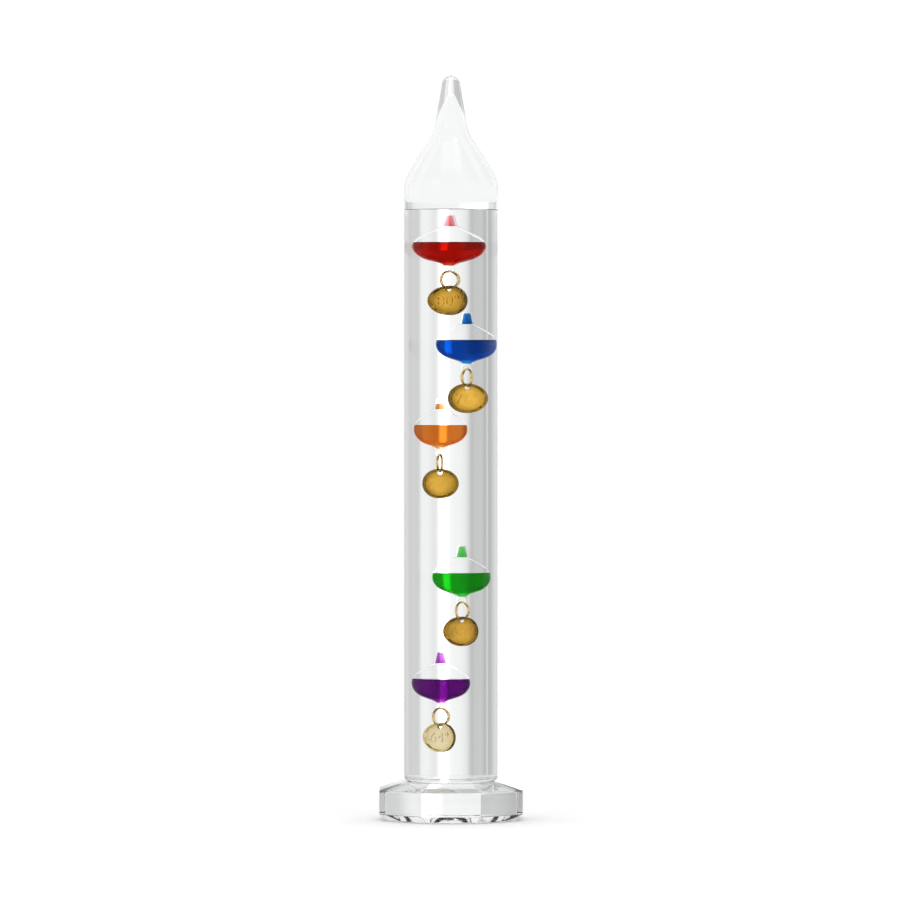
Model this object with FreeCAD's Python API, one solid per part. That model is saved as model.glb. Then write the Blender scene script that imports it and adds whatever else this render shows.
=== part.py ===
import FreeCAD, Part
import math
import os

# Galileo thermometer: a sealed glass cylinder of clear liquid on a pressed-glass foot, with five
# blown glass floats inside. Each float is part filled with dyed liquid and carries a brass ring
# and a round brass weight tag. Millimetres, +Z up, origin at the centre of the foot's underside,
# front towards -Y.

# Foot: a solid octagon with a chamfered lower edge and a bevelled top
FOOT_ACROSS_FLATS = 54.0
FOOT_CHAMFER_IN = 3.2
FOOT_CHAMFER_HEIGHT = 2.6
FOOT_WALL_TOP = 11.4
FOOT_TOP = 14.4
FOOT_TOP_ACROSS_FLATS = 35.8

# Clear adhesive between the foot and the cylinder
BOND_THICKNESS = 0.25

# Glass cylinder, drawn down at the top into a neck and flame sealed
TUBE_R = 17.6
TUBE_WALL = 1.4
FLOOR_WALL = 1.7
BASE_CORNER_R = 1.2
SHOULDER_Z = 238.0
SHOULDER_CURVES = [(9.0, 27.0), (88.0, 10.0), (-13.5, 27.5)]  # radius (- is hollow), turn in degrees
NECK_TOP_Z = 276.4
OVERALL_HEIGHT = 280.0
NECK_BORE_R = 1.0
NECK_BORE_TOP_Z = 272.0

# Clear liquid
LIQUID_TOP_Z = 229.2
MENISCUS_RISE = 0.25
MENISCUS_R = 1.2
LIQUID_GAP = 0.05

# One float: heights are counted from its widest circle
BULB_R = 8.25
BULB_WALL = 0.3
BULB_UPPER_ARC_R = 5.3
BULB_UPPER_TURN = 52.0
BULB_LOWER_ARC_R = 5.7
BULB_LOWER_TURN = 65.0
NECK_START_R = 2.1
NECK_CURVE_R = 0.9
NECK_TURN = 48.0
NIPPLE_TIP_R = 1.3
NIPPLE_CORNER_R = 0.7
NIPPLE_HEIGHT = 12.0
NIPPLE_BORE_TOP = 11.65
CONE_END_R = 2.6
STUB_CURVE_R = 2.0
STUB_CURVE_TURN = 55.0
HOLLOW_CURVE_TURN = 45.0
HOLLOW_BOTTOM = -7.4
DYE_LEVEL = 1.6
TIP_DYE_FROM = 7.5
DYE_GAP = 0.05

# Glass eye, brass jump ring and brass tag under each float
EYE_Z = -8.9
EYE_R = 1.35
EYE_WIRE_R = 0.35
RING_Z = -12.6
RING_R = 3.2
RING_WIRE_R = 0.4
TAG_R = 5.55
TAG_THICKNESS = 1.3
TAG_HOLE_R = 0.9
TAG_HOLE_Z = -16.15
TAG_TOP_Z = -14.75
TAG_EDGE_CHAMFER = 0.15

# name: x, y and z of the widest circle, and the turn of the tag about Z (0 faces the front)
FLOATS = {
    "red": (-0.4, 5.4, 215.6, -40.0),
    "blue": (4.2, 0.9, 178.85, 29.0),
    "amber": (-3.3, -4.5, 146.9, 9.0),
    "green": (3.0, -1.2, 91.4, -29.0),
    "purple": (-2.9, -1.2, 51.6, -45.0),
}

# How high the drop of dye in the nipple stands: the amber one is small, the others fill the nipple
TIP_DYE_TOPS = {"red": 12.0, "blue": 12.0, "amber": 9.6, "green": 12.0, "purple": 12.0}

UP = FreeCAD.Vector(0, 0, 1)
ORIGIN = FreeCAD.Vector(0, 0, 0)

bond_top = FOOT_TOP + BOND_THICKNESS
floor_z = bond_top + FLOOR_WALL
bore_r = TUBE_R - TUBE_WALL


class Outline:
    """Half a section, drawn like a pen: x is the radius, z is up. Heading 90 points up."""

    def __init__(self, r, z, heading=90.0):
        self.at = FreeCAD.Vector(r, 0, z)
        self.start = self.at
        self.heading = heading
        self.edges = []

    def line_to(self, r, z):
        """A straight line to a point."""
        end = FreeCAD.Vector(r, 0, z)
        if end.distanceToPoint(self.at) > 1e-7:
            self.edges.append(Part.LineSegment(self.at, end).toShape())
            self.heading = math.degrees(math.atan2(end.z - self.at.z, end.x - self.at.x))
            self.at = end
        return self

    def curve(self, radius, turn):
        """An arc that leaves along the heading and turns left by turn degrees (right if negative)."""
        side = math.copysign(1.0, turn)
        spoke = math.radians(self.heading + side * 90.0)
        centre = self.at + FreeCAD.Vector(math.cos(spoke), 0, math.sin(spoke)) * radius
        points = []
        for part in (0.5, 1.0):
            angle = spoke + math.pi + math.radians(turn * part)
            points.append(centre + FreeCAD.Vector(math.cos(angle), 0, math.sin(angle)) * radius)
        self.edges.append(Part.Arc(self.at, points[0], points[1]).toShape())
        self.at = points[1]
        self.heading += turn
        return self

    def dome(self, z):
        """A round crown from here to the axis, level where it meets it at a height."""
        rise = z - self.at.z
        radius = (self.at.x ** 2 + rise ** 2) / (2 * rise)
        half = math.atan2(self.at.x, radius - rise) / 2
        middle = FreeCAD.Vector(radius * math.sin(half), 0, z - radius + radius * math.cos(half))
        top = FreeCAD.Vector(0, 0, z)
        self.edges.append(Part.Arc(self.at, middle, top).toShape())
        self.at = top
        self.heading = 180.0
        return self

    def along_to_z(self, z):
        """A straight line along the heading, up or down to a height."""
        length = (z - self.at.z) / math.sin(math.radians(self.heading))
        return self.line_to(self.at.x + length * math.cos(math.radians(self.heading)), z)

    def along_to_r(self, r):
        """A straight line along the heading, in or out to a radius."""
        length = (r - self.at.x) / math.cos(math.radians(self.heading))
        return self.line_to(r, self.at.z + length * math.sin(math.radians(self.heading)))

    def solid(self):
        """The closed outline turned all the way round Z."""
        self.line_to(self.start.x, self.start.z)
        return Part.Face(Part.Wire(self.edges)).revolve(ORIGIN, UP, 360).Solids[0]


def octagon(across_flats, z):
    """A level octagon with flats towards X and Y."""
    corner_r = across_flats / 2 / math.cos(math.radians(22.5))
    corners = []
    for n in range(9):
        angle = math.radians(22.5 + 45.0 * n)
        corners.append(FreeCAD.Vector(corner_r * math.cos(angle), corner_r * math.sin(angle), z))
    return Part.makePolygon(corners)


def foot():
    """The solid glass foot."""
    sections = [
        octagon(FOOT_ACROSS_FLATS - 2 * FOOT_CHAMFER_IN, 0),
        octagon(FOOT_ACROSS_FLATS, FOOT_CHAMFER_HEIGHT),
        octagon(FOOT_ACROSS_FLATS, FOOT_WALL_TOP),
        octagon(FOOT_TOP_ACROSS_FLATS, FOOT_TOP),
    ]
    return Part.makeLoft(sections, True, True)


def adhesive():
    """The thin clear layer that holds the cylinder to the foot."""
    return Part.makeCylinder(TUBE_R - BASE_CORNER_R, BOND_THICKNESS, FreeCAD.Vector(0, 0, FOOT_TOP))


def shoulder(outline, inset):
    """The rounded shoulder, the cone and the hollow curve into the neck, moved in by inset."""
    outline.line_to(TUBE_R - inset, SHOULDER_Z)
    for radius, turn in SHOULDER_CURVES:
        if radius > 0:
            outline.curve(radius - inset, turn)
        else:
            outline.curve(-radius + inset, -turn)
    return outline


def tube():
    """The sealed glass envelope, one piece from its floor to its tip."""
    outside = Outline(0, bond_top, 0)
    outside.line_to(TUBE_R - BASE_CORNER_R, bond_top).curve(BASE_CORNER_R, 90)
    shoulder(outside, 0).along_to_z(NECK_TOP_Z)
    outside.dome(OVERALL_HEIGHT)

    inside = Outline(0, floor_z, 0)
    inside.line_to(bore_r - BASE_CORNER_R, floor_z).curve(BASE_CORNER_R, 90)
    shoulder(inside, TUBE_WALL)
    inside.line_to(NECK_BORE_R, NECK_BORE_TOP_Z).line_to(0, NECK_BORE_TOP_Z + NECK_BORE_R)
    return outside.solid().cut(inside.solid())


def bulb_outline(inset, nipple_top):
    """The float's outline from the top of its nipple to its stub, moved in by inset."""
    upper = Outline(BULB_R - inset, 0)
    upper.curve(BULB_UPPER_ARC_R - inset, BULB_UPPER_TURN)
    upper.along_to_r(NECK_START_R - inset * math.cos(math.radians(BULB_UPPER_TURN)))
    upper.curve(NECK_CURVE_R + inset, -NECK_TURN)
    corner_r = NIPPLE_CORNER_R - inset
    upper.line_to(NIPPLE_TIP_R - inset, nipple_top - corner_r)
    upper.heading = 90.0
    upper.curve(corner_r, 90)
    upper.line_to(0, nipple_top)
    return upper


def bulb_body(inset, nipple_top, stub_turn, bottom_z=None):
    """A closed float shape: the upper outline and the rounded, coned lower half down to its stub."""
    upper = bulb_outline(inset, nipple_top).line_to(0, 0).line_to(BULB_R - inset, 0)
    lower = Outline(BULB_R - inset, 0, -90)
    lower.curve(BULB_LOWER_ARC_R - inset, -BULB_LOWER_TURN)
    lower.along_to_r(CONE_END_R - inset * math.cos(math.radians(BULB_LOWER_TURN)))
    lower.curve(STUB_CURVE_R + inset, stub_turn)
    lower.line_to(0, lower.at.z if bottom_z is None else bottom_z).line_to(0, 0)
    return upper.solid().fuse(lower.solid()).removeSplitter()


def bulb_outside(swell=0.0):
    """The outer shape of a float with its eye, swollen by a clearance if one is given."""
    body = bulb_body(-swell, NIPPLE_HEIGHT + swell, STUB_CURVE_TURN)
    eye = Part.makeTorus(EYE_R, EYE_WIRE_R + swell, FreeCAD.Vector(0, 0, EYE_Z), FreeCAD.Vector(0, 1, 0))
    return body.fuse(eye).removeSplitter()


def bulb_inside(gap=0.0):
    """The sealed space inside a float, made smaller by a gap if one is given."""
    return bulb_body(BULB_WALL + gap, NIPPLE_BORE_TOP - gap, HOLLOW_CURVE_TURN, HOLLOW_BOTTOM + gap)


def slab(low, high):
    """A wide block between two heights."""
    size = 4 * BULB_R
    return Part.makeBox(size, size, high - low, FreeCAD.Vector(-size / 2, -size / 2, low))


def dye():
    """The dyed liquid in the lower part of a float."""
    return bulb_inside(DYE_GAP).common(slab(-3 * BULB_R, DYE_LEVEL))


def tip_dye(top):
    """The drop of dye that stays in a float's nipple, up to a height."""
    return bulb_inside(DYE_GAP).common(slab(TIP_DYE_FROM, top))


def ring(swell=0.0):
    """The brass jump ring. It lies across the tag."""
    return Part.makeTorus(RING_R, RING_WIRE_R + swell, FreeCAD.Vector(0, 0, RING_Z), FreeCAD.Vector(1, 0, 0))


def tag(swell=0.0):
    """The round brass weight tag, facing Y. A swollen one has no hole."""
    half = TAG_THICKNESS / 2 + swell
    radius = TAG_R + swell
    centre = FreeCAD.Vector(0, -half, TAG_TOP_Z - TAG_R)
    disc = Part.makeCylinder(radius, 2 * half, centre, FreeCAD.Vector(0, 1, 0))
    if swell:
        return disc
    disc = disc.makeChamfer(TAG_EDGE_CHAMFER, [e for e in disc.Edges if len(e.Vertexes) == 1])
    hole_start = FreeCAD.Vector(0, -2 * half, TAG_HOLE_Z)
    hole = Part.makeCylinder(TAG_HOLE_R, 4 * half, hole_start, FreeCAD.Vector(0, 1, 0))
    return disc.cut(hole)


def place(shape, x, y, z, turn):
    """Put a float's piece at its place in the cylinder."""
    placed = shape.copy()
    placed.rotate(ORIGIN, UP, turn)
    placed.translate(FreeCAD.Vector(x, y, z))
    return placed


def liquid():
    """The clear liquid: it fills the cylinder round the floats."""
    column_r = bore_r - LIQUID_GAP
    outline = Outline(0, floor_z + LIQUID_GAP, 0)
    outline.line_to(column_r - BASE_CORNER_R, outline.at.z).curve(BASE_CORNER_R, 90)
    outline.line_to(column_r, LIQUID_TOP_Z + MENISCUS_RISE)
    outline.line_to(column_r - MENISCUS_R / 2, LIQUID_TOP_Z + MENISCUS_RISE / 4)
    outline.line_to(column_r - MENISCUS_R, LIQUID_TOP_Z).line_to(0, LIQUID_TOP_Z)
    body = outline.solid()
    for x, y, z, turn in FLOATS.values():
        for piece in (bulb_outside(LIQUID_GAP), ring(LIQUID_GAP), tag(LIQUID_GAP)):
            body = body.cut(place(piece, x, y, z, turn))
    return body


os.makedirs("parts", exist_ok=True)
nodes = {"foot": foot(), "foot_bond": adhesive(), "glass_tube": tube(), "clear_liquid": liquid()}
pieces = {
    "bulb": bulb_outside().cut(bulb_inside()),
    "dye": dye(),
    "ring": ring(),
    "tag": tag(),
}
for colour, (x, y, z, turn) in FLOATS.items():
    for name, shape in pieces.items():
        nodes[f"{colour}_{name}"] = place(shape, x, y, z, turn)
    nodes[f"{colour}_tip_dye"] = place(tip_dye(TIP_DYE_TOPS[colour]), x, y, z, turn)

for name, shape in nodes.items():
    shape.exportStep(f"parts/{name}.step")
    box = shape.BoundBox
    print(f"{name}: valid {shape.isValid()}, solids {len(shape.Solids)}, {shape.Volume:.1f} mm3, "
          f"z {box.ZMin:.2f} to {box.ZMax:.2f}, r {max(box.XMax, box.YMax):.2f}")
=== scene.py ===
import math
import bpy
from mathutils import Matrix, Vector


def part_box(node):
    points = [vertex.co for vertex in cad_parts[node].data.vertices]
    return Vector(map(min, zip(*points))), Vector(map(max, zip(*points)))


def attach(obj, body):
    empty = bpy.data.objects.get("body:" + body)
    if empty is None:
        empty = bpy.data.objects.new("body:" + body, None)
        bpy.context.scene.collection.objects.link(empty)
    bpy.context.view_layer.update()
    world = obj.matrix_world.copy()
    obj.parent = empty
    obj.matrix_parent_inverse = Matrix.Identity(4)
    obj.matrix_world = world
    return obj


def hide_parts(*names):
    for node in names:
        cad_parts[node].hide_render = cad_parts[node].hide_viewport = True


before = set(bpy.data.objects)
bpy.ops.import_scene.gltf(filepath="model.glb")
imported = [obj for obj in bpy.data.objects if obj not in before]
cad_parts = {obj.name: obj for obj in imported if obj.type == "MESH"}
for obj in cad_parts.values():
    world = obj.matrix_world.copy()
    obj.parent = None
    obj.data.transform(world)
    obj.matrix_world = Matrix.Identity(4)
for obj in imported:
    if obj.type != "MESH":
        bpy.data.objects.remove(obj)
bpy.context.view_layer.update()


# ---- Foot ---------------------------------------------------------------------------------------
# A solid octagon of clear soda-lime glass, pressed in a steel mould and fire polished, which rounds
# its edges by a few tenths of a millimetre. The cylinder stands on its small flat top.

MM = 0.001
FOOT_CHAMFER_IN = 3.2 * MM
FOOT_CHAMFER_HEIGHT = 2.6 * MM
FOOT_WALL_TOP = 11.4 * MM
FOOT_TOP_APOTHEM = 17.9 * MM
FOOT_EDGE_ROUND = 0.45 * MM
FOOT_CONTACT_INSET = 1.6 * MM
SODA_LIME_IOR = 1.52
WETTED_BY_ADHESIVE_IOR = 1.02
EIGHTH = math.radians(45.0)


def linear(hex_colour, alpha=1.0):
    """An sRGB hex colour as the linear values that a shader takes."""
    channels = []
    for start in (1, 3, 5):
        value = int(hex_colour[start:start + 2], 16) / 255
        channels.append(value / 12.92 if value <= 0.04045 else ((value + 0.055) / 1.055) ** 2.4)
    return (*channels, alpha)


def add_node(tree, kind, values=None, links=None, **options):
    """Adds a node, sets its options and input values, and links its inputs."""
    made = tree.nodes.new(kind)
    for name, value in options.items():
        setattr(made, name, value)
    for name, value in (values or {}).items():
        made.inputs[name].default_value = value
    for name, output in (links or {}).items():
        tree.links.new(output, made.inputs[name])
    return made


def new_material(name):
    """An empty node material with its output node."""
    material = bpy.data.materials.new(name)
    material.use_nodes = True
    material.node_tree.nodes.clear()
    return material, material.node_tree, material.node_tree.nodes.new("ShaderNodeOutputMaterial")


def clear_medium(name, ior, tint="#FFFFFF", shine="#FFFFFF", ripple_mm=0.0, ripple=0.0,
                 absorbs=None, density=0.0):
    """A clear glass or liquid surface. Its index is that of the inner side over the outer side."""
    material, tree, output = new_material(name)
    surface = add_node(tree, "ShaderNodeBsdfPrincipled", {
        "Base Color": linear(tint), "Roughness": 0.0, "IOR": ior, "Transmission Weight": 1.0,
        "Specular Tint": linear(shine)})
    tree.links.new(surface.outputs["BSDF"], output.inputs["Surface"])
    if ripple:
        place = add_node(tree, "ShaderNodeTexCoord")
        waves = add_node(tree, "ShaderNodeTexNoise", {"Scale": 1 / (ripple_mm * MM), "Detail": 1.0},
                         {"Vector": place.outputs["Object"]})
        bump = add_node(tree, "ShaderNodeBump", {"Strength": 1.0, "Distance": ripple * MM},
                        {"Height": waves.outputs["Fac"]})
        tree.links.new(bump.outputs["Normal"], surface.inputs["Normal"])
    if absorbs:
        inside = add_node(tree, "ShaderNodeVolumeAbsorption",
                          {"Color": linear(absorbs), "Density": density})
        tree.links.new(inside.outputs["Volume"], output.inputs["Volume"])
    return material


def start_editing(piece, select="NONE"):
    """Opens one piece alone in edit mode."""
    if bpy.context.object and bpy.context.object.mode != "OBJECT":
        bpy.ops.object.mode_set(mode="OBJECT")
    bpy.ops.object.select_all(action="DESELECT")
    piece.select_set(True)
    bpy.context.view_layer.objects.active = piece
    bpy.ops.object.mode_set(mode="EDIT")
    bpy.ops.mesh.select_all(action="DESELECT" if select == "NONE" else "SELECT")


def finish_editing():
    """Back to object mode."""
    bpy.ops.object.mode_set(mode="OBJECT")


def raise_face(height, scale):
    """Draws the selected face up and makes it larger or smaller."""
    bpy.ops.mesh.extrude_region_move(TRANSFORM_OT_translate={"value": (0, 0, height)})
    bpy.ops.transform.resize(value=(scale, scale, 1.0))


def dress(piece, node, body, slot, *materials):
    """Gives a finished piece its materials and body, and hides its CAD node. Its slot, the finish's name,
    is not used.
    """
    piece.data.materials.clear()
    for material in materials:
        piece.data.materials.append(material)
    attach(piece, body)
    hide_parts(node)


foot_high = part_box("foot")[1]
foot_apothem = foot_high.x
foot_top = foot_high.z
corner = 1 / math.cos(EIGHTH / 2)
bpy.ops.object.select_all(action="DESELECT")
bpy.ops.mesh.primitive_circle_add(vertices=8, radius=(foot_apothem - FOOT_CHAMFER_IN) * corner,
                                  fill_type="NGON", rotation=(0, 0, EIGHTH / 2))
foot = bpy.context.object
foot.name = "pressed_glass_foot"
bpy.ops.object.transform_apply(location=False, rotation=True, scale=False)
start_editing(foot, "ALL")
raise_face(FOOT_CHAMFER_HEIGHT, foot_apothem / (foot_apothem - FOOT_CHAMFER_IN))
raise_face(FOOT_WALL_TOP - FOOT_CHAMFER_HEIGHT, 1.0)
raise_face(foot_top - FOOT_WALL_TOP, FOOT_TOP_APOTHEM / foot_apothem)
bpy.ops.mesh.select_all(action="SELECT")
bpy.ops.mesh.normals_make_consistent(inside=False)
bpy.ops.mesh.bevel(offset=FOOT_EDGE_ROUND, segments=4, affect="EDGES")
bpy.ops.mesh.select_all(action="DESELECT")
finish_editing()
for face in foot.data.polygons:
    face.select = face.normal.z > 0.999 and face.area > 1e-4
bpy.ops.object.mode_set(mode="EDIT")
bpy.ops.mesh.inset(thickness=FOOT_CONTACT_INSET)
finish_editing()
bpy.ops.object.shade_smooth_by_angle(angle=math.radians(30))

# Clear glass, with the slow unevenness that the mould leaves
pressed_glass = clear_medium("pressed_soda_lime_glass", SODA_LIME_IOR, "#FBFDFC",
                             ripple_mm=9.0, ripple=0.05)
# The same glass where the adhesive wets it: the two indices are nearly equal, so it hardly shows
wetted_by_adhesive = clear_medium("glass_under_adhesive", WETTED_BY_ADHESIVE_IOR, "#FBFDFC")
dress(foot, "foot", "vessel", "pressed_glass", pressed_glass, wetted_by_adhesive)
for face in foot.data.polygons:
    if face.normal.z > 0.999 and face.area > 5e-4 and face.center.z > foot_top - MM:
        face.material_index = 1


# ---- Adhesive -----------------------------------------------------------------------------------
# A film of clear acrylic adhesive, cured by ultraviolet light, that holds the cylinder to the foot.
# It is pressed out to a thin round layer with a smooth edge.

CONTACT_GAP = 0.02 * MM
ADHESIVE_IOR = 1.49
ADHESIVE_AGAINST_GLASS_IOR = 1.0


class Section:
    """Half the section of a round glass shape. Points are (radius, height); heading 90 is up."""

    def __init__(self, r, z, heading=90.0):
        self.points = [(r, z)]
        self.heading = heading

    def line(self, r, z):
        """Straight to a point."""
        last_r, last_z = self.points[-1]
        if abs(r - last_r) + abs(z - last_z) > 1e-7:
            self.heading = math.degrees(math.atan2(z - last_z, r - last_r))
            self.points.append((r, z))
        return self

    def bend(self, radius, turn, steps=12):
        """An arc that leaves along the heading and turns left, or right if turn is negative."""
        r, z = self.points[-1]
        spoke = math.radians(self.heading + math.copysign(90.0, turn))
        centre_r = r + radius * math.cos(spoke)
        centre_z = z + radius * math.sin(spoke)
        for n in range(1, steps + 1):
            angle = spoke + math.pi + math.radians(turn) * n / steps
            self.points.append((centre_r + radius * math.cos(angle), centre_z + radius * math.sin(angle)))
        self.heading += turn
        return self

    def along_to_height(self, z):
        """Straight on along the heading to a height."""
        r, last_z = self.points[-1]
        return self.line(r + (z - last_z) / math.tan(math.radians(self.heading)), z)

    def along_to_radius(self, r):
        """Straight on along the heading to a radius."""
        last_r, z = self.points[-1]
        return self.line(r, z + (r - last_r) * math.tan(math.radians(self.heading)))


def turned(name, section, steps=96, inside_out=False):
    """A closed shape spun round the Z axis. Inside out, it is the wall of a hollow."""
    bpy.ops.object.select_all(action="DESELECT")
    bpy.ops.mesh.primitive_plane_add(size=MM)
    piece = bpy.context.object
    piece.name = name
    start_editing(piece, "ALL")
    bpy.ops.mesh.merge(type="CENTER")
    last_r, last_z = section.points[0]
    bpy.ops.transform.translate(value=(last_r, 0, last_z))
    for r, z in section.points[1:]:
        bpy.ops.mesh.extrude_vertices_move(
            TRANSFORM_OT_translate={"value": (r - last_r, 0, z - last_z)})
        last_r, last_z = r, z
    bpy.ops.mesh.select_all(action="SELECT")
    bpy.ops.mesh.spin(steps=steps, angle=math.tau, center=(0, 0, 0), axis=(0, 0, 1))
    bpy.ops.mesh.select_all(action="SELECT")
    bpy.ops.mesh.remove_doubles(threshold=0.001 * MM)
    bpy.ops.mesh.normals_make_consistent(inside=inside_out)
    finish_editing()
    bpy.ops.object.shade_smooth_by_angle(angle=math.radians(40))
    return piece


def joined(name, *pieces):
    """Several shells as one piece."""
    bpy.ops.object.select_all(action="DESELECT")
    for piece in pieces:
        piece.select_set(True)
    bpy.context.view_layer.objects.active = pieces[0]
    bpy.ops.object.join()
    pieces[0].name = name
    pieces[0].data.name = name
    return pieces[0]


bond_low, bond_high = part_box("foot_bond")
bond_r = bond_high.x
bond_edge_r = (bond_high.z - bond_low.z) / 2 - CONTACT_GAP
outline = Section(0, bond_low.z + CONTACT_GAP, 0)
outline.line(bond_r - bond_edge_r, bond_low.z + CONTACT_GAP).bend(bond_edge_r, 180, 6)
outline.line(0, bond_high.z - CONTACT_GAP)
adhesive = turned("uv_adhesive_layer", outline)
# Cured acrylic: clear, with a smooth glossy rim
cured_acrylic = clear_medium("cured_acrylic_adhesive", ADHESIVE_IOR, "#FDFDFB")
# Its two faces lie against glass of nearly the same index
adhesive_face = clear_medium("adhesive_against_glass", ADHESIVE_AGAINST_GLASS_IOR)
dress(adhesive, "foot_bond", "vessel", "clear_adhesive", cured_acrylic, adhesive_face)
for face in adhesive.data.polygons:
    face.material_index = 1 if abs(face.normal.z) > 0.99 else 0


# ---- Glass cylinder -----------------------------------------------------------------------------
# One sealed envelope of borosilicate glass: a drawn tube with a flat floor fused in, its top worked
# in the flame into a shoulder, a cone and a narrow neck, and sealed off at the tip after filling.

TUBE_WALL = 1.4 * MM
FLOOR_WALL = 1.7 * MM
BASE_CORNER_R = 1.2 * MM
SHOULDER_Z = 238.0 * MM
SHOULDER_BENDS = [(9.0 * MM, 27.0), (88.0 * MM, 10.0), (13.5 * MM, -27.5)]
NECK_TOP_Z = 276.4 * MM
NECK_BORE_R = 1.0 * MM
NECK_BORE_TOP_Z = 272.0 * MM
GLASS_IOR = 1.50
LIQUID_IOR = 1.42
AIR_IOR = 1.0
LIQUID_GAP = 0.05 * MM
ENVELOPE_STEPS = 160
NEAR = 0.01 * MM


def shoulder(section, inset):
    """The worked top of the cylinder, drawn on from its straight wall. Inset moves it in."""
    section.line(tube_r - inset, SHOULDER_Z)
    for radius, turn in SHOULDER_BENDS:
        section.bend(radius - math.copysign(inset, turn), turn, 14)
    return section


tube_low, tube_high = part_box("glass_tube")
liquid_low, liquid_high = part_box("clear_liquid")
tube_r = liquid_high.x + LIQUID_GAP + TUBE_WALL
bore_r = tube_r - TUBE_WALL
floor_z = tube_low.z + FLOOR_WALL
wetted_top = liquid_high.z

outside = Section(0, tube_low.z, 0)
outside.line(tube_r - BASE_CORNER_R, tube_low.z).bend(BASE_CORNER_R, 90, 8)
shoulder(outside, 0.0).along_to_height(NECK_TOP_Z)
tip_r, tip_z = outside.points[-1]
tip_rise = tube_high.z - tip_z
crown_r = (tip_r ** 2 + tip_rise ** 2) / (2 * tip_rise)
crown_turn = math.degrees(math.asin(tip_r / crown_r))
outside.heading = 180.0 - crown_turn
outside.bend(crown_r, crown_turn, 12)
outside.points[-1] = (0, tube_high.z)

inside = Section(0, floor_z, 0)
inside.line(bore_r - BASE_CORNER_R, floor_z).bend(BASE_CORNER_R, 90, 8)
inside.line(bore_r, wetted_top)
shoulder(inside, TUBE_WALL)
inside.line(NECK_BORE_R, NECK_BORE_TOP_Z).bend(NECK_BORE_R, 90 - (inside.heading - 90), 6)
inside.points[-1] = (0, inside.points[-1][1])

outer_skin = turned("outer_skin", outside, ENVELOPE_STEPS)
inner_skin = turned("inner_skin", inside, ENVELOPE_STEPS, inside_out=True)
envelope = joined("borosilicate_envelope", outer_skin, inner_skin)
# Clear drawn glass, its reflection dimmed by a grey specular tint
tube_glass = clear_medium("drawn_borosilicate_glass", GLASS_IOR, "#FCFDFD", shine="#6E6E6E")
# The same glass where the liquid wets the bore, and where the adhesive wets the floor
wetted_bore = clear_medium("bore_wetted_by_liquid", GLASS_IOR / LIQUID_IOR)
wetted_floor = clear_medium("floor_under_adhesive", WETTED_BY_ADHESIVE_IOR)
dress(envelope, "glass_tube", "vessel", "tube_glass", tube_glass, wetted_bore, wetted_floor)
for face in envelope.data.polygons:
    middle_r = math.hypot(face.center.x, face.center.y)
    on_bore = middle_r < bore_r + 0.1 * MM and face.center.z > floor_z - 0.1 * MM
    if on_bore and face.center.z < wetted_top:
        face.material_index = 1
    elif face.center.z < tube_low.z + NEAR:
        face.material_index = 2


# ---- Clear liquid -------------------------------------------------------------------------------
# A light, clear hydrocarbon oil that fills the cylinder to just under the shoulder. It climbs the
# glass a little at its edge. Its index is lower than that of glass and much higher than that of air.

MENISCUS_RISE = 0.25 * MM
MENISCUS_R = 1.2 * MM
MENISCUS_STEPS = 10
MENISCUS_CURVE = 2.5

liquid_z = liquid_high.z - MENISCUS_RISE
column_r = bore_r - LIQUID_GAP
outline = Section(0, liquid_low.z, 0)
outline.line(column_r - BASE_CORNER_R, liquid_low.z).bend(BASE_CORNER_R, 90, 8)
outline.line(column_r, liquid_high.z)
for n in range(1, MENISCUS_STEPS + 1):
    part = n / MENISCUS_STEPS
    outline.line(column_r - MENISCUS_R * part, liquid_z + MENISCUS_RISE * (1 - part) ** MENISCUS_CURVE)
outline.line(0, liquid_z)
column = turned("liquid_column", outline, ENVELOPE_STEPS)
# The free surface bends light as the liquid does; the sides are taken up by the wetted bore
liquid_surface = clear_medium("light_oil_surface", LIQUID_IOR)
liquid_side = clear_medium("light_oil_against_glass", AIR_IOR)
dress(column, "clear_liquid", "vessel", "clear_liquid", liquid_surface, liquid_side)
for face in column.data.polygons:
    face.material_index = 0 if face.center.z > liquid_z - NEAR and face.normal.z > 0.2 else 1


# ---- Float bulbs --------------------------------------------------------------------------------
# Five bulbs blown from thin glass tube, each with a hollow nipple at the top where it was sealed and
# a small glass eye fused to its bottom. All five are the same shape; only what they hold differs.

BULB_R = 8.25 * MM
BULB_WALL = 0.3 * MM
UPPER_ARC_R = 5.3 * MM
UPPER_TURN = 52.0
LOWER_ARC_R = 5.7 * MM
LOWER_TURN = 65.0
NECK_START_R = 2.1 * MM
NECK_CURVE_R = 0.9 * MM
NECK_TURN = 48.0
NIPPLE_TIP_R = 1.3 * MM
NIPPLE_CORNER_R = 0.7 * MM
NIPPLE_HEIGHT = 12.0 * MM
NIPPLE_BORE_TOP = 11.65 * MM
CONE_END_R = 2.6 * MM
STUB_CURVE_R = 2.0 * MM
STUB_CURVE_TURN = 55.0
HOLLOW_CURVE_TURN = 45.0
HOLLOW_BOTTOM = -7.4 * MM
EYE_Z = -8.9 * MM
EYE_R = 1.35 * MM
EYE_WIRE_R = 0.35 * MM
DYE_LEVEL = 1.6 * MM
TIP_DYE_FROM = 7.5 * MM
# the drop left in the amber nipple is small; the others fill theirs
TIP_DYE_TOPS = {"amber": 9.6 * MM}
DYE_GAP = 0.05 * MM
DYE_IOR = 1.47
DRY_WALL_IOR = 1.05
# each float's tag and eye are turned about Z, in degrees, from facing the front
FLOAT_TURNS = {"red": -40.0, "blue": 29.0, "amber": 9.0, "green": -29.0, "purple": -45.0}


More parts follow.
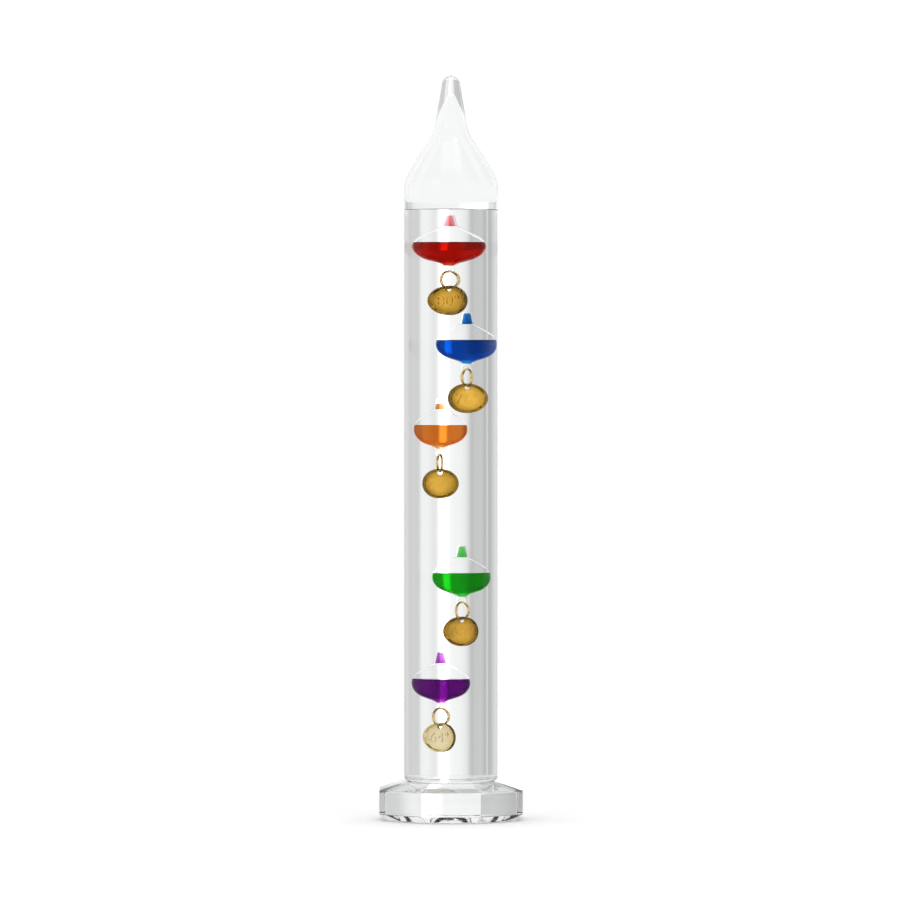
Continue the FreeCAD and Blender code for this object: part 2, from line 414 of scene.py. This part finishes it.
def bulb_section(inset, nipple_top, levels=()):
    """The bulb's section from the bottom up, moved in by inset. Levels are heights it must pass."""
    lower = Section(BULB_R - inset, 0, -90)
    lower.bend(LOWER_ARC_R - inset, -LOWER_TURN, 14)
    lower.along_to_radius(CONE_END_R - inset * math.cos(math.radians(LOWER_TURN)))
    lower.bend(STUB_CURVE_R + inset, HOLLOW_CURVE_TURN if inset else STUB_CURVE_TURN, 8)
    lower.line(0, HOLLOW_BOTTOM + inset - BULB_WALL if inset else lower.points[-1][1])
    upper = Section(BULB_R - inset, 0)
    upper.bend(UPPER_ARC_R - inset, UPPER_TURN, 16)
    upper.along_to_radius(NECK_START_R - inset * math.cos(math.radians(UPPER_TURN)))
    upper.bend(NECK_CURVE_R + inset, -NECK_TURN, 8)
    corner_r = NIPPLE_CORNER_R - inset
    upper.line(NIPPLE_TIP_R - inset, nipple_top - corner_r)
    upper.heading = 90.0
    upper.bend(corner_r, 90, 6).line(0, nipple_top)
    section = Section(*lower.points[-1])
    section.points = lower.points[::-1] + upper.points[1:]
    for level in levels:
        section.points = with_level(section.points, level)
    return section


def with_level(points, level):
    """The same section with a point where it crosses a height."""
    done = []
    for (r0, z0), (r1, z1) in zip(points, points[1:]):
        done.append((r0, z0))
        if z0 < level < z1:
            part = (level - z0) / (z1 - z0)
            done.append((r0 + (r1 - r0) * part, level))
    return done + [points[-1]]


def part_below(points, level):
    """The closed section of what stands below a height, with a flat top."""
    kept = [p for p in with_level(points, level) if p[1] <= level + 1e-9]
    return kept + [(0, level)]


def part_above(points, level):
    """The closed section of what stands above a height, with a flat bottom."""
    kept = [p for p in with_level(points, level) if p[1] >= level - 1e-9]
    return [(0, level)] + kept


def moved(piece, name, x, y, z, turn):
    """A copy of a piece with its own mesh, put at its place in the cylinder."""
    copy = piece.copy()
    copy.data = piece.data.copy()
    copy.name = name
    bpy.context.scene.collection.objects.link(copy)
    bpy.ops.object.select_all(action="DESELECT")
    copy.select_set(True)
    bpy.context.view_layer.objects.active = copy
    copy.location = (x, y, z)
    copy.rotation_euler = (0, 0, math.radians(turn))
    bpy.ops.object.transform_apply(location=True, rotation=True, scale=False)
    return copy


bulb_skin = turned("bulb_outer_skin", bulb_section(0.0, NIPPLE_HEIGHT))
bpy.ops.object.select_all(action="DESELECT")
bpy.ops.mesh.primitive_torus_add(location=(0, 0, EYE_Z), rotation=(math.pi / 2, 0, 0), major_segments=48,
                                 minor_segments=16, major_radius=EYE_R, minor_radius=EYE_WIRE_R)
eye = bpy.context.object
bpy.ops.object.transform_apply(location=True, rotation=True, scale=False)
bpy.ops.object.shade_smooth()
fuse = bulb_skin.modifiers.new("fused_eye", "BOOLEAN")
fuse.operation = "UNION"
fuse.solver = "EXACT"
fuse.object = eye
bpy.context.view_layer.objects.active = bulb_skin
bpy.ops.object.modifier_apply(modifier=fuse.name)
bpy.data.objects.remove(eye)
hollow_section = bulb_section(BULB_WALL, NIPPLE_BORE_TOP,
                              (DYE_LEVEL, TIP_DYE_FROM, *TIP_DYE_TOPS.values()))
hollow = turned("bulb_hollow", hollow_section, inside_out=True)
bulb = joined("float_bulb", bulb_skin, hollow)

# Thin blown glass: the outer skin lies in the oil, the hollow holds air or dye
bulb_in_oil = clear_medium("blown_glass_in_oil", GLASS_IOR / LIQUID_IOR)
# The dry upper wall is blown so thin that light passes it almost straight
hollow_dry = clear_medium("thin_dry_bulb_wall", DRY_WALL_IOR)
hollow_wet = clear_medium("bulb_hollow_in_dye", GLASS_IOR / DYE_IOR)


# ---- Dyes ---------------------------------------------------------------------------------------
# Each bulb is half filled with dyed liquid, and a drop of it stays in the nipple. The amount sets
# the temperature at which the float sinks. The colour comes from the depth of liquid seen through,
# with painted shade added by a denser skin of dye against the glass.

DYES = {  # tint and density per metre, in the bulb and in the nipple
    "red": ("#EE7D00", 540.0, "#F05E72", 816.0),
    "blue": ("#00D1F0", 624.0, "#00C7ED", 2080.0),
    "amber": ("#F3C500", 300.0, "#EDB41E", 1000.0),
    "green": ("#00E600", 412.0, "#00DF00", 990.0),
    "purple": ("#D400DD", 520.0, "#C700D3", 1160.0),
}

DYE_SKIN = 0.7 * MM
DYE_SKIN_TOP = 0.3 * MM
SKIN_GAP = 0.02 * MM
# painted shade: the skin of dye against the glass absorbs this many times the dye's density, and the core
# this share of it
SKIN_SHADE_STRENGTH = 3.0
CORE_STRENGTH = 0.7
# the dye's free surface bends light against the dry half above it
DYE_TOP_IOR = DYE_IOR * DRY_WALL_IOR / GLASS_IOR


def pool_part(name, inset, level, hollow=False, in_core=0):
    """The pool's shape, moved in by inset and filled to a height. A hollow one faces inwards."""
    section = Section(0, 0)
    whole = bulb_section(BULB_WALL + DYE_GAP + inset, NIPPLE_BORE_TOP - DYE_GAP - inset)
    section.points = part_below(whole.points, level)
    part = turned(name, section, inside_out=hollow)
    mark = part.data.attributes.new("in_core", "INT", "FACE")
    for face in part.data.polygons:
        mark.data[face.index].value = in_core
    return part


# The dye is built as a deep-coloured skin against the glass and a lighter core: the skin is painted shade,
# darkening the pool towards its rim
core_level = DYE_LEVEL - DYE_SKIN_TOP
dye_pool = joined("dye_pool", pool_part("pool_outside", 0.0, DYE_LEVEL),
                  pool_part("pool_inside", DYE_SKIN, core_level, hollow=True),
                  pool_part("pool_core", DYE_SKIN + SKIN_GAP, core_level - SKIN_GAP, in_core=1))


# ---- Floats, put together -----------------------------------------------------------------------
# Each float is put at its depth in the cylinder, turned as it hangs, with its own dye. The nipple's
# drop is shaped here, because the amber float holds less of it.

DROP_STEPS = 48
HOLLOW_FROM = -7.0 * MM
HOLLOW_MIDDLE = 0.5 * MM
dye_section = bulb_section(BULB_WALL + DYE_GAP, NIPPLE_BORE_TOP - DYE_GAP)


def float_place(colour):
    """The middle of a float's bulb."""
    low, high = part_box(f"{colour}_bulb")
    return (low.x + high.x) / 2, (low.y + high.y) / 2, high.z - NIPPLE_HEIGHT


for colour, (tint, density, tip_tint, tip_density) in DYES.items():
    x, y, z = float_place(colour)
    turn = FLOAT_TURNS[colour]
    own_bulb = moved(bulb, f"{colour}_glass_bulb", x, y, z, turn)
    dress(own_bulb, f"{colour}_bulb", f"{colour}_float", "bulb_glass", bulb_in_oil, hollow_dry, hollow_wet)
    for face in own_bulb.data.polygons:
        spot = face.center - Vector((x, y, z))
        towards_axis = face.normal.dot(spot - Vector((0, 0, HOLLOW_MIDDLE)))
        wall_r = math.hypot(spot.x, spot.y)
        if towards_axis < 0 and spot.z > HOLLOW_FROM and wall_r < BULB_R - BULB_WALL:
            in_drop = TIP_DYE_FROM < spot.z < TIP_DYE_TOPS.get(colour, NIPPLE_HEIGHT)
            in_dye = spot.z < DYE_LEVEL or in_drop
            face.material_index = 2 if in_dye else 1
    # Dyed water and alcohol: strong clear colour, deepest where it is thickest. Its skin is made denser
    # and its core lighter, as painted shade towards the rim
    skin_shade_density = density * SKIN_SHADE_STRENGTH
    dye_top = clear_medium(f"{colour}_dye_surface", DYE_TOP_IOR, absorbs=tint, density=skin_shade_density)
    dye_side = clear_medium(f"{colour}_dye_skin_painted_shade", AIR_IOR, absorbs=tint, density=skin_shade_density)
    dye_core = clear_medium(f"{colour}_dye_core", AIR_IOR, absorbs=tint, density=density * CORE_STRENGTH)
    own_pool = moved(dye_pool, f"{colour}_dye_pool", x, y, z, turn)
    dress(own_pool, f"{colour}_dye", f"{colour}_dye_body", f"{colour}_dye", dye_top, dye_side, dye_core)
    drop = Section(0, 0)
    drop.points = part_above(dye_section.points, TIP_DYE_FROM)
    if colour in TIP_DYE_TOPS:
        drop.points = part_below(drop.points, TIP_DYE_TOPS[colour])
    pattern = turned("dye_drop", drop, DROP_STEPS)
    own_drop = moved(pattern, f"{colour}_dye_drop", x, y, z, turn)
    bpy.data.objects.remove(pattern)
    tip_top = clear_medium(f"{colour}_tip_dye_surface", DYE_TOP_IOR, absorbs=tip_tint, density=tip_density)
    tip_side = clear_medium(f"{colour}_tip_dye_side", AIR_IOR, absorbs=tip_tint, density=tip_density)
    dress(own_drop, f"{colour}_tip_dye", f"{colour}_float", f"{colour}_dye", tip_top, tip_side)
    in_core = own_pool.data.attributes["in_core"]
    for face in own_pool.data.polygons:
        at_top = face.normal.z > 0.999 and face.center.z > z + DYE_LEVEL - NEAR
        face.material_index = 2 if in_core.data[face.index].value else 0 if at_top else 1
    for face in own_drop.data.polygons:
        face.material_index = 0 if abs(face.normal.z) > 0.999 else 1
for pattern in (bulb, dye_pool):
    bpy.data.objects.remove(pattern)


# ---- Jump rings ---------------------------------------------------------------------------------
# A ring of half-hard brass wire, wound on a rod and cut, joins each glass eye to its tag. The cut
# ends meet with a hairline gap.

RING_Z = -12.6 * MM
RING_R = 3.2 * MM
RING_WIRE_R = 0.4 * MM
RING_TURN = math.radians(358.0)
RING_STEPS = 72
TARNISH_PATCH = 3.0 * MM
PATCHES_SHOW = 0.45


def aged_brass(name, light, dark, roughness, grain_mm):
    """Brass that has dulled: its colour and shine vary over the surface. Where a piece carries near_rim,
    it is painted darker towards the rim as painted shade.
    """
    material, tree, output = new_material(name)
    place = add_node(tree, "ShaderNodeTexCoord")
    patches = add_node(tree, "ShaderNodeTexNoise", {"Scale": 1 / TARNISH_PATCH, "Detail": 4.0},
                       {"Vector": place.outputs["Object"]})
    grain = add_node(tree, "ShaderNodeTexNoise", {"Scale": 1 / (grain_mm * MM), "Detail": 2.0},
                     {"Vector": place.outputs["Object"]})
    near_rim = add_node(tree, "ShaderNodeAttribute", attribute_name="near_rim")
    # painted shade: near_rim darkens a tag towards its rim, on top of the random dull patches
    tarnish_and_rim_shade = add_node(tree, "ShaderNodeMath", {1: PATCHES_SHOW},
                       {0: patches.outputs["Fac"], 2: near_rim.outputs["Fac"]},
                       operation="MULTIPLY_ADD", use_clamp=True)
    colour = add_node(tree, "ShaderNodeMix", {6: linear(light), 7: linear(dark)}, {0: tarnish_and_rim_shade.outputs[0]},
                      data_type="RGBA")
    shine = add_node(tree, "ShaderNodeMapRange", {"To Min": roughness * 0.8, "To Max": roughness * 1.25},
                     {"Value": patches.outputs["Fac"]})
    bump = add_node(tree, "ShaderNodeBump", {"Strength": 0.4, "Distance": 0.02 * MM},
                    {"Height": grain.outputs["Fac"]})
    surface = add_node(tree, "ShaderNodeBsdfPrincipled", {"Metallic": 1.0},
                       {"Base Color": colour.outputs[2], "Roughness": shine.outputs["Result"],
                        "Normal": bump.outputs["Normal"]})
    tree.links.new(surface.outputs["BSDF"], output.inputs["Surface"])
    return material


ring_brass = aged_brass("drawn_brass_wire", "#F2D492", "#7A6238", 0.2, 0.15)
bpy.ops.object.select_all(action="DESELECT")
bpy.ops.mesh.primitive_circle_add(vertices=16, radius=RING_WIRE_R, fill_type="NGON",
                                  location=(0, RING_R, RING_Z))
wire = bpy.context.object
wire.name = "jump_ring"
bpy.ops.object.transform_apply(location=True, rotation=True, scale=False)
start_editing(wire, "ALL")
bpy.ops.mesh.spin(steps=RING_STEPS, angle=RING_TURN, center=(0, 0, RING_Z), axis=(1, 0, 0))
bpy.ops.mesh.select_all(action="SELECT")
bpy.ops.mesh.normals_make_consistent(inside=False)
finish_editing()
bpy.ops.object.shade_smooth_by_angle(angle=math.radians(40))
for colour, turn in FLOAT_TURNS.items():
    x, y, z = float_place(colour)
    ring = moved(wire, f"{colour}_jump_ring", x, y, z, turn)
    dress(ring, f"{colour}_ring", f"{colour}_link", "ring_brass", ring_brass)
bpy.data.objects.remove(wire)


# ---- Weight tags --------------------------------------------------------------------------------
# A round tag stamped from brass strip, with a rolled rim and the temperature raised on its front.
# Its weight is trimmed so that the float sinks at that temperature.

TAG_R = 5.55 * MM
TAG_THICKNESS = 1.3 * MM
TAG_TOP = -14.75 * MM
TAG_MIDDLE = TAG_TOP - TAG_R
TAG_HOLE_R = 0.9 * MM
TAG_HOLE_Z = -16.15 * MM
TAG_RIM = 0.4 * MM
TAG_SINK = 0.3 * MM
TAG_DOME_STEP = 0.75 * MM
TAG_DOME = [0.055 * MM, 0.045 * MM, 0.035 * MM, 0.022 * MM, 0.01 * MM]
TAG_NUMBER_Y = -0.58 * MM
TAG_EDGE_ROUND = 0.18 * MM
TAG_NUMBER_DROP = 1.9 * MM
TAG_NUMBER_SIZE = 5.2 * MM
TAG_NUMBER_RAISED = 0.07 * MM
TAG_NUMBER_SOFT = 0.02 * MM
DARK_FROM = 0.35
DARK_CURVE = 1.3
DARK_AT_RIM = 0.75
TAG_NUMBERS = {"red": "80", "blue": "76", "amber": "72", "green": "68", "purple": "64"}

tag_brass = aged_brass("stamped_brass", "#F5C04D", "#7A5A18", 0.13, 0.25)
# The lowest tag's brass is painted paler than the others: a painted reflection of bright light on it
brass_painted_reflection = aged_brass("brass_painted_reflection", "#F6E6BE", "#D9C48C", 0.2, 0.25)
# The cut edge is painted darker brass than the faces, as painted shade on the tag's rim
tag_edge_painted_shade = aged_brass("brass_edge_painted_shade", "#A98C4A", "#6E5A2C", 0.35, 0.25)
bpy.ops.object.select_all(action="DESELECT")
bpy.ops.mesh.primitive_cylinder_add(vertices=96, radius=TAG_R, depth=TAG_THICKNESS,
                                    location=(0, 0, TAG_MIDDLE), rotation=(math.pi / 2, 0, 0))
disc = bpy.context.object
disc.name = "tag_blank"
bpy.ops.object.transform_apply(location=True, rotation=True, scale=False)
for edge in disc.data.edges:
    a, b = (disc.data.vertices[v].co for v in edge.vertices)
    edge.select = abs(a.y - b.y) < 1e-6
bpy.ops.object.mode_set(mode="EDIT")
bpy.ops.mesh.bevel(offset=TAG_EDGE_ROUND, segments=3, affect="EDGES")
bpy.ops.mesh.select_all(action="DESELECT")
finish_editing()
for face in disc.data.polygons:
    face.select = abs(face.normal.y) > 0.999 and face.area > 1e-5
bpy.ops.object.mode_set(mode="EDIT")
bpy.ops.mesh.inset(thickness=TAG_RIM)
bpy.ops.mesh.inset(thickness=TAG_SINK, depth=-TAG_SINK)
for rise in TAG_DOME:
    bpy.ops.mesh.inset(thickness=TAG_DOME_STEP, depth=rise)
finish_editing()
bpy.ops.object.select_all(action="DESELECT")
bpy.ops.mesh.primitive_cylinder_add(vertices=48, radius=TAG_HOLE_R, depth=4 * TAG_THICKNESS,
                                    location=(0, 0, TAG_HOLE_Z), rotation=(math.pi / 2, 0, 0))
punch = bpy.context.object
bpy.ops.object.transform_apply(location=True, rotation=True, scale=False)
pierce = disc.modifiers.new("punched_hole", "BOOLEAN")
pierce.operation = "DIFFERENCE"
pierce.solver = "EXACT"
pierce.object = punch
bpy.context.view_layer.objects.active = disc
bpy.ops.object.modifier_apply(modifier=pierce.name)
bpy.data.objects.remove(punch)
# How near each point lies to the rim, towards which the brass is painted darker as painted shade
near_rim = disc.data.attributes.new("near_rim", "FLOAT", "POINT")
for vertex in disc.data.vertices:
    from_middle = math.hypot(vertex.co.x, vertex.co.z - TAG_MIDDLE) / TAG_R
    reach = max(0.0, from_middle - DARK_FROM) / (1 - DARK_FROM)
    near_rim.data[vertex.index].value = DARK_AT_RIM * reach ** DARK_CURVE

for colour, turn in FLOAT_TURNS.items():
    x, y, z = float_place(colour)
    own_disc = moved(disc, f"{colour}_tag_disc", 0, 0, 0, 0)
    bpy.ops.object.text_add(location=(0, TAG_NUMBER_Y, TAG_MIDDLE - TAG_NUMBER_DROP),
                            rotation=(math.pi / 2, 0, 0))
    number = bpy.context.object
    number.data.body = TAG_NUMBERS[colour] + "°"
    number.data.align_x = "CENTER"
    number.data.size = TAG_NUMBER_SIZE
    number.data.extrude = TAG_NUMBER_RAISED
    number.data.bevel_depth = TAG_NUMBER_SOFT
    bpy.ops.object.convert(target="MESH")
    bpy.ops.object.transform_apply(location=True, rotation=True, scale=False)
    stamped = joined(f"{colour}_stamped", own_disc, number)
    tag = moved(stamped, f"{colour}_brass_tag", x, y, z, turn)
    bpy.data.objects.remove(stamped)
    bpy.ops.object.select_all(action="DESELECT")
    tag.select_set(True)
    bpy.context.view_layer.objects.active = tag
    bpy.ops.object.shade_smooth_by_angle(angle=math.radians(30))
    # painted reflection: the lowest tag gets the paler brass
    face_brass = brass_painted_reflection if colour == "purple" else tag_brass
    dress(tag, f"{colour}_tag", f"{colour}_weight", "tag_brass", face_brass, tag_edge_painted_shade)
    facing = Vector((math.sin(math.radians(turn)), -math.cos(math.radians(turn)), 0))
    for face in tag.data.polygons:
        face.material_index = 1 if abs(face.normal.dot(facing)) < 0.5 and face.area > 0.05e-6 else 0
bpy.data.objects.remove(disc)


# ---- Table, light and camera --------------------------------------------------------------------
# A plain white table top that ends close behind the thermometer. A backlit striped screen stands half
# way round behind it, and the round cylinder draws its stripes out into the grey bands down its sides.

TABLE_R = 0.65
TABLE_BACK = 0.05
TABLE_GAP = 0.1 * MM

bpy.ops.object.select_all(action="DESELECT")
bpy.ops.mesh.primitive_circle_add(vertices=256, radius=TABLE_R, fill_type="NGON",
                                  location=(0, TABLE_BACK - TABLE_R, -TABLE_GAP))
table = bpy.context.object
bpy.ops.object.transform_apply(location=True, rotation=False, scale=False)
table.name = "table_top"
painted, painted_tree, painted_output = new_material("matt_white_paint")
paint = add_node(painted_tree, "ShaderNodeBsdfPrincipled",
                 {"Base Color": linear("#F8F8F8"), "Roughness": 0.9})
painted_tree.links.new(paint.outputs["BSDF"], painted_output.inputs["Surface"])
table.data.materials.append(painted)

SCREEN_R = 0.8
SCREEN_BOTTOM = -0.15
SCREEN_TOP = 0.2462
SCREENS = [  # degrees round from straight behind, and the brightness there
    (-90, 0.888), (-62, 0.838), (-53, 0.761), (-46, 0.617), (-39.5, 0.485), (-36, 0.479),
    (-34, 0.672), (-32.5, 0.658), (-30.5, 0.456), (-28, 0.527), (-25, 0.597), (-18, 0.578),
    (-15.2, 0.515), (-13.5, 0.631), (-11, 0.807), (-7, 0.9), (-2, 0.94), (1.2, 0.97), (3.4, 2.5),
    (7.0, 2.5), (9.2, 0.93), (10.5, 0.85), (12.5, 0.81), (15, 0.86), (18, 0.905), (24, 0.888),
    (27.5, 0.658), (30, 0.624), (37, 0.638), (44, 0.575), (54, 0.694), (66, 0.761),
]
BACK_PANEL = 2.5


def brightness_round(tree, spot, stops, half_turn, peak):
    """A colour by the angle round from straight behind, as a share of the peak brightness."""
    parts = add_node(tree, "ShaderNodeSeparateXYZ", links={"Vector": spot})
    angle = add_node(tree, "ShaderNodeMath", links={0: parts.outputs["X"], 1: parts.outputs["Y"]},
                     operation="ARCTAN2")
    reach = math.radians(half_turn)
    along = add_node(tree, "ShaderNodeMapRange", {"From Min": -reach, "From Max": reach},
                     {"Value": angle.outputs[0]})
    ramp = add_node(tree, "ShaderNodeValToRGB", links={"Fac": along.outputs["Result"]})
    while len(ramp.color_ramp.elements) < len(stops):
        ramp.color_ramp.elements.new(0.5)
    for stop, (degrees, brightness) in zip(ramp.color_ramp.elements, stops):
        stop.position = (degrees + half_turn) / (2 * half_turn)
        stop.color = (*[brightness / peak] * 3, 1.0)
    return ramp.outputs["Color"]


bpy.ops.object.select_all(action="DESELECT")
bpy.ops.mesh.primitive_circle_add(vertices=256, radius=SCREEN_R, fill_type="NOTHING",
                                  location=(0, 0, SCREEN_BOTTOM))
screen = bpy.context.object
bpy.ops.object.transform_apply(location=True, rotation=False, scale=False)
screen.name = "striped_screen"
start_editing(screen, "ALL")
bpy.ops.mesh.extrude_region_move(TRANSFORM_OT_translate={"value": (0, 0, SCREEN_TOP - SCREEN_BOTTOM)})
bpy.ops.mesh.select_all(action="SELECT")
bpy.ops.mesh.bisect(plane_co=(0, 0, 0), plane_no=(0, 1, 0), clear_inner=True)
finish_editing()
striped, striped_tree, striped_output = new_material("backlit_striped_screen")
place = add_node(striped_tree, "ShaderNodeTexCoord")
stripes = brightness_round(striped_tree, place.outputs["Object"], SCREENS, 90, BACK_PANEL)
lit = add_node(striped_tree, "ShaderNodeEmission", {"Strength": BACK_PANEL}, {"Color": stripes})
striped_tree.links.new(lit.outputs["Emission"], striped_output.inputs["Surface"])
screen.data.materials.append(striped)
screen.visible_camera = False
screen.visible_diffuse = False
screen.visible_shadow = False

ROOM = [  # degrees round from straight behind (negative is left), and the brightness there
    (-180, 0.5), (-140, 0.5), (-130, 0.35), (-122, 0.5), (-114, 0.95), (-108, 0.95), (-100, 0.62),
    (-93, 0.95), (-87, 1.15), (-50, 0.95), (-30, 0.98), (0, 0.985), (30, 0.98), (50, 0.95),
    (80, 0.95), (108, 0.32),
    (114, 0.35), (122, 0.6), (130, 1.2), (138, 1.2), (152, 1.0), (160, 0.8), (168, 0.35), (180, 0.5),
]
ROOM_PEAK = 1.2

studio = bpy.data.worlds.new("studio")
bpy.context.scene.world = studio
studio.use_nodes = True
tree = studio.node_tree
tree.nodes.clear()
towards = add_node(tree, "ShaderNodeTexCoord")
walls = brightness_round(tree, towards.outputs["Generated"], ROOM, 180, ROOM_PEAK)
rays = add_node(tree, "ShaderNodeLightPath")
# The camera itself sees plain white
pick = add_node(tree, "ShaderNodeMix", {7: (*[1 / ROOM_PEAK] * 3, 1)},
                {0: rays.outputs["Is Camera Ray"], 6: walls}, data_type="RGBA")
glow = add_node(tree, "ShaderNodeBackground", {"Strength": ROOM_PEAK}, {"Color": pick.outputs[2]})
add_node(tree, "ShaderNodeOutputWorld", links={"Surface": glow.outputs["Background"]})

SOFTBOXES = [  # place in metres, size, power in watts
    ((0.0, -0.2, 1.6), 1.2, 9.0),
    ((-1.1, -1.3, 0.9), 0.6, 3.5),
]
LIT_POINT = Vector((0, 0, 0.14))
for n, (place, size, power) in enumerate(SOFTBOXES):
    bpy.ops.object.light_add(type="AREA", location=place)
    softbox = bpy.context.object
    softbox.name = f"softbox_{n}"
    softbox.data.shape = "SQUARE"
    softbox.data.size = size
    softbox.data.energy = power
    softbox.rotation_euler = (LIT_POINT - Vector(place)).to_track_quat("-Z", "Y").to_euler()

CAMERA_DISTANCE = 2.5
CAMERA_HEIGHT = 0.175
AIM = Vector((-0.0004, 0.0, 0.139))
VIEW_HEIGHT = 0.3388
LIGHT_BOUNCES = 40
SENSOR_MM = 36.0
bpy.ops.object.camera_add(location=(AIM.x, -CAMERA_DISTANCE, CAMERA_HEIGHT))
camera = bpy.context.object
camera.rotation_euler = (AIM - camera.location).to_track_quat("-Z", "Y").to_euler()
camera.data.sensor_width = SENSOR_MM
camera.data.lens = SENSOR_MM * (AIM - camera.location).length / VIEW_HEIGHT
camera.data.clip_start = 0.1
camera.data.clip_end = 20.0
bpy.context.scene.camera = camera

# Light passes through many glass and liquid surfaces on its way, so it is followed far
bpy.context.scene.cycles.max_bounces = LIGHT_BOUNCES
bpy.context.scene.cycles.transmission_bounces = LIGHT_BOUNCES
bpy.context.scene.cycles.transparent_max_bounces = LIGHT_BOUNCES
bpy.context.scene.view_settings.view_transform = "Standard"
